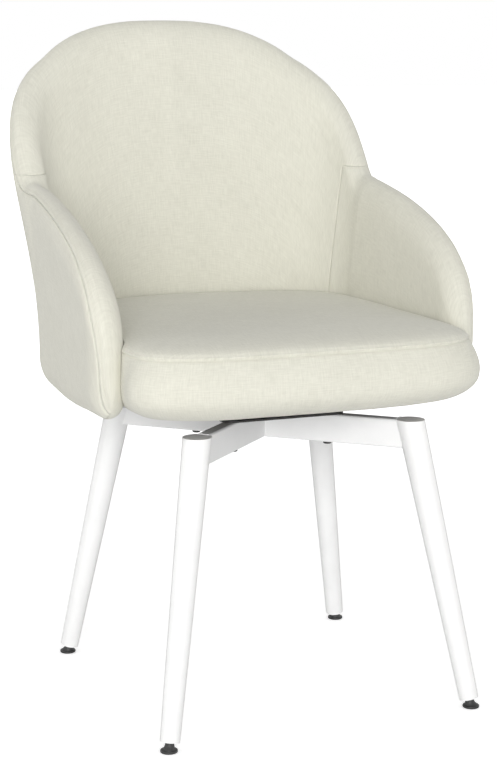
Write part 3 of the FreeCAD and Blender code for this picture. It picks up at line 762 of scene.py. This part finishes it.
def add_stitch(bm, start, end, normal, width):
    """One short raised thread between two points, its ends sunk in."""
    along = end - start
    length = along.length
    if length < 1e-6:
        return
    along = along / length
    side = along.cross(normal).normalized()
    rings = []
    for share, size, lift in thread_rings:
        centre = start + along * length * share + normal * (width * lift)
        ring = []
        for k in range(thread_sides):
            turn = math.pi * 2 * k / thread_sides
            flat = side * math.cos(turn) * width / 2 * size
            ring.append(bm.verts.new(centre + (flat + normal * math.sin(turn) * width / 2 * size)))
        rings.append(ring)
    for a, b in zip(rings, rings[1:]):
        bridge(bm, a, b)
    bm.faces.new(list(reversed(rings[0])))
    bm.faces.new(rings[-1])


# Dust cover under the seat board
board_inset = 33.0
cover_margin = 4.0
plate_half = 85.75
bracket_width = 30.0
bracket_reach = 58.0
bracket_stations = (0.0, 352.0, 490.0)
shell_board_inner = -4.0
bracket_side_gap = 2
bracket_end_gap = 3
cloth_depth = 0.3
cloth_sag = 0.45
edge_wrinkle = 0.12
edge_wrinkles = 36
staple_pitch = 42.0
staple_inset = 7.0
staple_wire = 0.7
staple_crown = 10.0
staple_depth = 0.45


def cover_opening(x, y):
    """Positive inside an opening of the dust cover, in mm from its edge."""
    half = plate_half + cover_margin
    best = min(half - abs(x), half - abs(y))
    for station in bracket_stations:
        px, py, nx, ny, _ = path_at(station)
        u = (abs(x) - px) * nx + (y - py) * ny - shell_board_inner
        v = (abs(x) - px) * ny - (y - py) * nx
        beside = bracket_width / 2 + bracket_side_gap - abs(v)
        best = max(best, min(beside, u + bracket_reach + bracket_end_gap))
    return best


def cover_edge_points(count):
    """Plan points of the dust cover's outline, a cover margin inside the board's edge."""
    edge = []
    for i in range(count):
        angle = 2 * math.pi * i / count
        dx, dy = math.sin(angle), -math.cos(angle)
        near, far = 60.0, 320.0
        for _ in range(24):
            middle = (near + far) / 2
            if seat_inset(middle * dx, middle * dy) > board_inset + cover_margin:
                near = middle
            else:
                far = middle
        edge.append((near, dx, dy))
    return edge


def build_dust_cover():
    """Thin black cloth, stretched under the board and sagging a little between its staples."""
    low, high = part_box("dust_cover")
    level = high[2] * 1000 - cloth_depth
    bm = bmesh.new()
    hole = bm.verts.layers.float.new("hole")
    around, rows = 180, 44
    centre_hole = 4.0
    edge = cover_edge_points(around)
    columns = []
    for i, (outer, dx, dy) in enumerate(edge):
        wrinkle = edge_wrinkle * math.sin(2 * math.pi * i / around * edge_wrinkles)
        column = []
        for k in range(rows + 1):
            reach = outer * k / rows if k else centre_hole
            x, y = reach * dx, reach * dy
            sag = cloth_sag * math.sin(math.pi * k / rows) + wrinkle * (k / rows) ** 4
            vert = bm.verts.new((x, y, level - max(sag, 0.0)))
            vert[hole] = cover_opening(x, y)
            column.append(vert)
        columns.append(column)
    for a, b in zip(columns, columns[1:] + columns[:1]):
        for k in range(rows):
            bm.faces.new((a[k], a[k + 1], b[k + 1], b[k]))
    cut_level(bm, hole, 0.0, reach=40.0)
    gone = [f for f in bm.faces if mean(f, hole) > 0]
    bmesh.ops.delete(bm, geom=gone, context="FACES")
    into_frame(bm)
    area = sum(f.calc_area() for f in bm.faces)
    piece = new_piece("dust_cloth", bm, "seat", "black_cloth", "dust_cover")
    return piece, [(outer * dx, outer * dy) for outer, dx, dy in edge], level


def build_staples(edge, level):
    """Wire staples round the dust cover, each with its crown along the edge."""
    bm = bmesh.new()
    total = 0.0
    for (ax, ay), (bx, by) in zip(edge, edge[1:] + edge[:1]):
        run = math.hypot(bx - ax, by - ay)
        total += run
        if total < staple_pitch:
            continue
        total = 0.0
        tx, ty = (bx - ax) / run, (by - ay) / run
        x, y = bx - ty * staple_inset, by + tx * staple_inset
        if cover_opening(x, y) > -staple_crown:
            x, y = bx + ty * staple_inset, by - tx * staple_inset
        if seat_inset(x, y) < board_inset + cover_margin:
            x, y = 2 * bx - x, 2 * by - y
        if cover_opening(x, y) > -staple_crown:
            continue
        low = level - staple_depth
        start = Vector((x - tx * staple_crown / 2, y - ty * staple_crown / 2, low))
        end = Vector((x + tx * staple_crown / 2, y + ty * staple_crown / 2, low))
        add_stitch(bm, start, end, Vector((0, 0, -1)), staple_wire)
    into_frame(bm)
    return new_piece("cover_staples", bm, "seat", "steel")


# Top stitching beside the edge seam
stitch_pitch = 4.2
stitch_length = 3.1
stitch_width = 0.7
stitch_lift = 0.05
stitch_point_gap = 2.5
slope_step = 0.01


def stitch_along(bm, points, normals):
    """Lays stitches along a polyline, all in millimetres."""
    total = running_lengths(points)

    def at(distance):
        k = int(np.searchsorted(total, distance)) - 1
        k = min(max(k, 0), len(points) - 2)
        span = max(total[k + 1] - total[k], 1e-9)
        share = (distance - total[k]) / span
        normal = normals[k].lerp(normals[k + 1], share).normalized()
        return points[k].lerp(points[k + 1], share), normal

    for n in range(int(total[-1] / stitch_pitch)):
        start, normal = at(n * stitch_pitch)
        end, _ = at(n * stitch_pitch + stitch_length)
        add_stitch(bm, start, end, normal, stitch_width)


def offset_line(inset):
    """Right half of a line at a distance in from the wall's edge, on the outer face."""
    line = []
    for length, height in zip(edge_lengths, edge_heights):
        if length >= wall_length - slope_step:
            continue
        rise = wall_top(length + slope_step) - wall_top(max(length - slope_step, 0))
        slope = math.atan(max(-(rise / (2 * slope_step)), 0))
        line.append((length - inset * math.sin(slope), height - inset * math.cos(slope)))
    picked = [line[0]]
    for s, z in line:
        far = math.hypot(s - picked[-1][0], z - picked[-1][1]) > stitch_point_gap
        if far and s >= picked[-1][0] - 0.2:
            picked.append((s, z))
    return picked


def build_wall_stitches(skin):
    """Top stitching beside the edge seam, laid on the finished skin."""
    bm = bmesh.new()
    line = offset_line(seam_inset - edge_stitch_gap)
    for sign in (-1, 1):
        points, normals = [], []
        for s, z in line:
            point, normal, _, _ = skin.find_nearest(Section(sign * s).face_point(1, z))
            points.append(point + normal * stitch_lift)
            normals.append(normal)
        stitch_along(bm, points, normals)
    uv = bm.loops.layers.uv.new("weave")
    for face in bm.faces:
        for loop in face.loops:
            loop[uv].uv = (loop.vert.co.x / 1000, loop.vert.co.z / 1000)
    into_frame(bm)
    return new_piece("edge_stitching", bm, "seat", "linen")


# Weld beads where the cross bars meet the legs
bar_depth = 38.0
bar_width = 19.0
leg_top_radius = 18.75
leg_foot_radius = 12.75
weld_leg = 2.2
weld_sink = 0.4
weld_ripple = 0.15
weld_ripple_turn = 2.1
weld_sides = 6


def leg_ends(corner):
    """Foot and head points of a leg's axis, in millimetres from the frame's origin."""
    low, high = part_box(corner + "_leg")
    left, front = "left" in corner, "front" in corner
    foot_radius, head_radius = leg_foot_radius / 1000, leg_top_radius / 1000
    foot = (
        low[0] + foot_radius if left else high[0] - foot_radius,
        low[1] + foot_radius if front else high[1] - foot_radius,
        low[2],
    )
    head = (
        high[0] - head_radius if left else low[0] + head_radius,
        high[1] - head_radius if front else low[1] + head_radius,
        high[2],
    )
    return Vector(foot) * 1000, Vector(head) * 1000


def bar_outline():
    """Outline of a bar's end, as places across the bar and heights."""
    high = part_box("crossbar_long")[1][2] * 1000
    half = bar_width / 2
    low = high - bar_depth
    outline = [(-half, high - bar_depth * k / 12) for k in range(13)]
    outline += [(-half + bar_width * k / 6, low) for k in range(1, 7)]
    outline += [(half, low + bar_depth * k / 12) for k in range(1, 13)]
    outline += [(half - bar_width * k / 6, high) for k in range(1, 6)]
    return outline


def build_welds():
    """A thin rippled bead round each bar's end, where it meets the round leg."""
    bm = bmesh.new()
    middle = Vector(metres(0, 0, 0)) * 1000
    up = Vector((0, 0, 1))
    outline = bar_outline()
    for corner in ("front_left", "front_right", "rear_left", "rear_right"):
        foot, head = leg_ends(corner)
        flat = foot - middle
        flat.z = 0
        out = flat.normalized()
        side = Vector((-out.y, out.x, 0))
        rings = []
        for n, (across, z) in enumerate(outline):
            share = (z - foot.z) / (head.z - foot.z)
            radius = leg_foot_radius + (leg_top_radius - leg_foot_radius) * share
            back = math.sqrt(max(radius**2 - across**2, 0.0)) - weld_sink
            point = foot.lerp(head, share) - out * back + side * across
            following = outline[(n + 1) % len(outline)]
            run = side * (following[0] - across) + Vector((0, 0, following[1] - z))
            along = run.normalized()
            lift = (side * along.dot(up) - up * along.dot(side)).normalized()
            size = weld_leg * (1 - weld_ripple + weld_ripple * math.sin(n * weld_ripple_turn))
            ring = []
            for k in range(weld_sides):
                turn = 2 * math.pi * k / weld_sides
                offset = -out * math.cos(turn) + lift * math.sin(turn)
                ring.append(bm.verts.new(point + offset * size / 2))
            rings.append(ring)
        for a, b in zip(rings, rings[1:] + rings[:1]):
            bridge(bm, a, b)
    bmesh.ops.recalc_face_normals(bm, faces=bm.faces)
    for vert in bm.verts:
        vert.co = vert.co / 1000
    return new_piece("weld_beads", bm, "base", "white_metal")


# Materials
def set_inputs(node, **values):
    """Sets a node's inputs by name, with an underline for each space."""
    for key, value in values.items():
        node.inputs[key.replace("_", " ")].default_value = value


def fresh_material(name, **values):
    """New material with its nodes, its links and its shader, which takes the values."""
    material = bpy.data.materials.new(name)
    material.use_nodes = True
    tree = material.node_tree
    shader = tree.nodes["Principled BSDF"]
    set_inputs(shader, **values)
    return material, tree.nodes, tree.links, shader


def add_node(nodes, kind, **values):
    """New node; each value goes to the property of that name, or else to the input."""
    node = nodes.new(kind)
    for key, value in values.items():
        if hasattr(node, key):
            setattr(node, key, value)
        else:
            set_inputs(node, **{key: value})
    return node


def add_noise(nodes, links, vector, **values):
    texture = add_node(nodes, "ShaderNodeTexNoise", **values)
    links.new(vector, texture.inputs["Vector"])
    return texture.outputs["Fac"]


def add_scaling(nodes, links, vector, scale):
    mapping = add_node(nodes, "ShaderNodeMapping", Scale=scale)
    links.new(vector, mapping.inputs["Vector"])
    return mapping.outputs["Vector"]


def add_colours(nodes, links, value, shader, dark, light, places=(0.0, 1.0)):
    """Base colour that goes from dark to light as a value rises."""
    ramp = nodes.new("ShaderNodeValToRGB")
    for element, place, colour in zip(ramp.color_ramp.elements, places, (dark, light)):
        element.position = place
        element.color = (*colour, 1)
    links.new(value, ramp.inputs["Fac"])
    links.new(ramp.outputs["Color"], shader.inputs["Base Color"])


def add_bump(nodes, links, height, shader, strength, distance):
    bump = add_node(nodes, "ShaderNodeBump", Strength=strength, Distance=distance)
    links.new(height, bump.inputs["Height"])
    links.new(bump.outputs["Normal"], shader.inputs["Normal"])


def linen_material():
    """Plain-weave linen look with thick and thin yarns; its coordinates are in metres."""
    thread_pitch = 0.0012
    material, nodes, links, shader = fresh_material(
        "linen", Roughness=0.92, Sheen_Weight=0.25, Sheen_Roughness=0.5, Specular_IOR_Level=0.2
    )
    place = add_node(nodes, "ShaderNodeUVMap", uv_map="weave")

    def streaks(scale_u, scale_v, detail):
        vector = add_scaling(nodes, links, place.outputs["UV"], (scale_u, scale_v, 1.0))
        return add_noise(nodes, links, vector, Scale=1.0, Detail=detail, Roughness=0.6)

    def math_node(kind, a, b):
        node = add_node(nodes, "ShaderNodeMath", operation=kind)
        for socket, value in zip(node.inputs, (a, b)):
            if isinstance(value, (int, float)):
                socket.default_value = value
            else:
                links.new(value, socket)
        return node.outputs[0]

    def mix(a, share_a, b, share_b):
        return math_node(
            "ADD", math_node("MULTIPLY", a, share_a), math_node("MULTIPLY", b, share_b)
        )

    across = streaks(55.0, 620.0, 3.0)
    upright = streaks(620.0, 55.0, 3.0)
    broad = streaks(14.0, 14.0, 2.0)
    yarns = mix(across, 0.5, upright, 0.5)
    tone = mix(yarns, 0.85, broad, 0.15)
    dark, light = (0.585, 0.575, 0.495), (0.735, 0.725, 0.635)
    add_colours(nodes, links, tone, shader, dark, light, (0.30, 0.68))
    split = nodes.new("ShaderNodeSeparateXYZ")
    links.new(place.outputs["UV"], split.inputs["Vector"])
    turns = 2 * math.pi / thread_pitch
    warp = math_node("SINE", math_node("MULTIPLY", split.outputs["X"], turns), 0.0)
    weft = math_node("SINE", math_node("MULTIPLY", split.outputs["Y"], turns), 0.0)
    weave = math_node("MULTIPLY", warp, weft)
    add_bump(nodes, links, mix(weave, 0.35, yarns, 2.2), shader, 0.35, 0.0006)
    return material


def coated_material(name, dark, light, roughness, bump_size, bump_scale, metallic=0.0):
    """Painted or plated surface with a faint uneven tone and texture."""
    gloss_range = 0.06
    material, nodes, links, shader = fresh_material(name, Metallic=metallic)
    place = nodes.new("ShaderNodeTexCoord").outputs["Object"]
    patches = add_noise(nodes, links, place, Scale=22.0, Detail=4.0, Roughness=0.6)
    add_colours(nodes, links, patches, shader, dark, light, (0.3, 0.7))
    low, high = roughness - gloss_range, roughness + gloss_range
    gloss = add_node(nodes, "ShaderNodeMapRange", To_Min=low, To_Max=high)
    links.new(patches, gloss.inputs["Value"])
    links.new(gloss.outputs["Result"], shader.inputs["Roughness"])
    grain = add_noise(nodes, links, place, Scale=bump_scale, Detail=2.0)
    add_bump(nodes, links, grain, shader, 0.3, bump_size)
    return material


def wood_material():
    """Birch plywood with a faint grain."""
    material, nodes, links, shader = fresh_material("plywood", Roughness=0.6)
    place = nodes.new("ShaderNodeTexCoord").outputs["Object"]
    vector = add_scaling(nodes, links, place, (4.0, 60.0, 320.0))
    grain = add_noise(nodes, links, vector, Scale=1.0, Detail=6.0, Roughness=0.65)
    add_colours(nodes, links, grain, shader, (0.36, 0.24, 0.13), (0.68, 0.52, 0.34))
    add_bump(nodes, links, grain, shader, 0.2, 0.0003)
    return material


def dress(piece, material):
    piece.data.materials.clear()
    piece.data.materials.append(material)


def dress_node(name, material):
    """Puts a material on a CAD shape that the scene keeps."""
    node = frame["nodes"][name]
    if not node.material_slots:
        node.data.materials.append(material)
    for slot in node.material_slots:
        slot.material = material


linen = linen_material()
white_coat = coated_material(
    "white_powder_coat", (0.82, 0.82, 0.815), (0.86, 0.86, 0.855), 0.42, 0.0002, 900.0
)
black_coat = coated_material(
    "black_plate", (0.016, 0.015, 0.014), (0.03, 0.028, 0.026), 0.45, 0.0002, 700.0
)
black_plastic = coated_material(
    "black_plastic", (0.018, 0.018, 0.018), (0.035, 0.035, 0.035), 0.5, 0.0002, 500.0
)
zinc = coated_material(
    "zinc_plate", (0.42, 0.42, 0.43), (0.6, 0.6, 0.62), 0.35, 0.0001, 400.0, metallic=1.0
)
plywood = wood_material()
black_cloth = coated_material(
    "black_cloth", (0.015, 0.015, 0.015), (0.03, 0.03, 0.03), 0.95, 0.0005, 1500.0
)
by_slot = {
    "white_metal": white_coat,
    "black_metal": black_coat,
    "black_plastic": black_plastic,
    "steel": zinc,
    "plywood": plywood,
    "black_cloth": black_cloth,
    "linen": linen,
}
slots = {part["node"]: part["material_slot"] for part in frame["record"]["subparts"]}
for name in frame["nodes"]:
    dress_node(name, by_slot[slots[name]])

covers, wall_skin = build_upholstery()
for piece in covers:
    dress(piece, linen)
dress(build_seat(), linen)
dress(build_wall_stitches(wall_skin), linen)
dust_cloth, cover_edge, cover_level = build_dust_cover()
dress(dust_cloth, black_cloth)
dress(build_staples(cover_edge, cover_level), zinc)
dress(build_welds(), white_coat)


# Stage
def build_stage():
    """White floor; to the camera it glows more the farther it is from the chair."""
    size = 30.0
    mesh = bpy.data.meshes.new("floor")
    bm = bmesh.new()
    corners = ((-size, -size), (size, -size), (size, size), (-size, size))
    bm.faces.new([bm.verts.new((x, y, 0)) for x, y in corners])
    bm.to_mesh(mesh)
    bm.free()
    floor = bpy.data.objects.new("floor", mesh)
    bpy.context.scene.collection.objects.link(floor)
    material, nodes, links, shader = fresh_material(
        "floor",
        Base_Color=(0.92, 0.92, 0.92, 1),
        Roughness=0.9,
        Specular_IOR_Level=0.1,
        Emission_Color=(1, 1, 1, 1),
    )
    ray = nodes.new("ShaderNodeLightPath")
    place = nodes.new("ShaderNodeTexCoord")
    reach = add_node(nodes, "ShaderNodeVectorMath", operation="LENGTH")
    links.new(place.outputs["Object"], reach.inputs[0])
    glow = add_node(
        nodes, "ShaderNodeMapRange", From_Min=0.6, From_Max=2.4, To_Min=0.5, To_Max=1.0
    )
    links.new(reach.outputs["Value"], glow.inputs["Value"])
    lift = add_node(nodes, "ShaderNodeMath", operation="MULTIPLY")
    links.new(ray.outputs["Is Camera Ray"], lift.inputs[0])
    links.new(glow.outputs["Result"], lift.inputs[1])
    links.new(lift.outputs[0], shader.inputs["Emission Strength"])
    dress(floor, material)


def build_world():
    """Soft light from all round, weaker from above; the camera sees plain white."""
    world = bpy.data.worlds.new("studio")
    bpy.context.scene.world = world
    world.use_nodes = True
    nodes, links = world.node_tree.nodes, world.node_tree.links
    back = nodes["Background"]
    ray = nodes.new("ShaderNodeLightPath")
    seen = ray.outputs["Is Camera Ray"]
    for kind in ("Is Glossy Ray", "Is Transmission Ray"):
        either = add_node(nodes, "ShaderNodeMath", operation="MAXIMUM")
        links.new(seen, either.inputs[0])
        links.new(ray.outputs[kind], either.inputs[1])
        seen = either.outputs[0]
    strength = add_node(nodes, "ShaderNodeMapRange", To_Max=1.0)
    place = nodes.new("ShaderNodeTexCoord")
    split = nodes.new("ShaderNodeSeparateXYZ")
    links.new(place.outputs["Generated"], split.inputs["Vector"])
    level = add_node(nodes, "ShaderNodeMapRange", From_Max=0.75, To_Min=0.70, To_Max=0.36)
    links.new(split.outputs["Z"], level.inputs["Value"])
    links.new(level.outputs["Result"], strength.inputs["To Min"])
    links.new(seen, strength.inputs["Value"])
    links.new(strength.outputs["Result"], back.inputs["Strength"])
    set_inputs(back, Color=(1, 1, 1, 1))


def add_lamp(name, place, target, size, power):
    """Square lamp at a place, aimed at a target."""
    data = bpy.data.lights.new(name, "AREA")
    data.shape = "SQUARE"
    data.size = size
    data.energy = power
    lamp = bpy.data.objects.new(name, data)
    bpy.context.scene.collection.objects.link(lamp)
    lamp.location = place
    lamp.rotation_mode = "QUATERNION"
    lamp.rotation_quaternion = (Vector(target) - Vector(place)).to_track_quat("-Z", "Y")


def build_camera():
    """Camera of the photograph, as it was fitted to the chair."""
    data = bpy.data.cameras.new("camera")
    camera = bpy.data.objects.new("camera", data)
    bpy.context.scene.collection.objects.link(camera)
    camera.location = (-0.9706, -2.3082 + axis_y / 1000, 0.8651)
    camera.rotation_mode = "QUATERNION"
    camera.rotation_quaternion = Vector((0.37536, 0.90966, -0.17786)).to_track_quat("-Z", "Y")
    data.sensor_width = 36.0
    data.lens = 89.13
    data.clip_start = 0.05
    data.clip_end = 100.0
    bpy.context.scene.camera = camera


build_stage()
build_world()
add_lamp("key", (-2.9, -7.4, 2.0), (0, 0, 0.6), 4.5, 490.0)
add_lamp("left", (-7.0, 0.6, 2.0), (0, 0, 0.5), 4.0, 60.0)
add_lamp("right", (6.8, -1.6, 2.0), (0, 0, 0.5), 4.0, 40.0)
add_lamp("top", (0.3, 0.6, 3.4), (0, 0, 0.4), 2.0, 5.0)
build_camera()
bpy.context.scene.view_settings.view_transform = "Standard"
